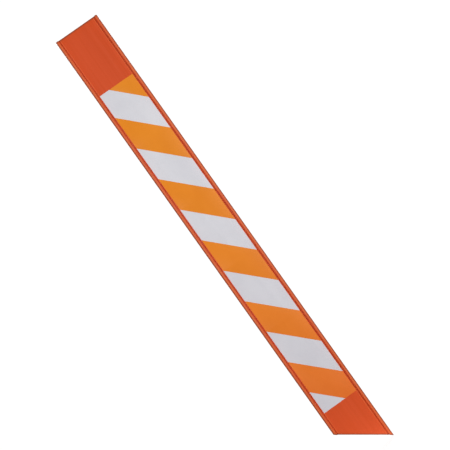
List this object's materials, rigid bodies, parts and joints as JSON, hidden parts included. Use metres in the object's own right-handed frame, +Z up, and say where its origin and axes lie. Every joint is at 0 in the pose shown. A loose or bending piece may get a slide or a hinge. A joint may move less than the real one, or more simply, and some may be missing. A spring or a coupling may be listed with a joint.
{
  "type": "driveway snow marker",
  "caption": "Tall flat orange composite marker blade with raised side rails, diagonal orange and white reflective sheeting on its front and an angle-cut end for driving into the ground.",
  "frame": {"origin": "at the ground line, on the blade's centreline and halfway through its panel; the driving tip is 101.6 mm below it", "axes": "+Z up the blade to its square top, +X across it to the side with the driving tip, -Y out of the striped front face"},
  "size_m": [0.0952, 0.007, 0.991],
  "materials": {
    "orange_composite": "pultruded glass-fibre composite, orange right through, satin, with fine lengthwise fibre lines",
    "adhesive": "pressure-sensitive adhesive, only its edge shows",
    "white_sheeting": "enclosed glass-bead retroreflective sheeting, cool white, smooth satin",
    "orange_film": "transparent amber-orange overlay film on the white sheeting, smooth satin"
  },
  "bodies": {
    "root": {"marker_blade": "orange_composite", "sheeting_adhesive": "adhesive", "white_reflective_sheeting": "white_sheeting", "orange_stripe_1": "orange_film", "orange_stripe_2": "orange_film", "orange_stripe_3": "orange_film", "orange_stripe_4": "orange_film", "orange_stripe_5": "orange_film", "orange_stripe_6": "orange_film"}
  },
  "joints": []
}
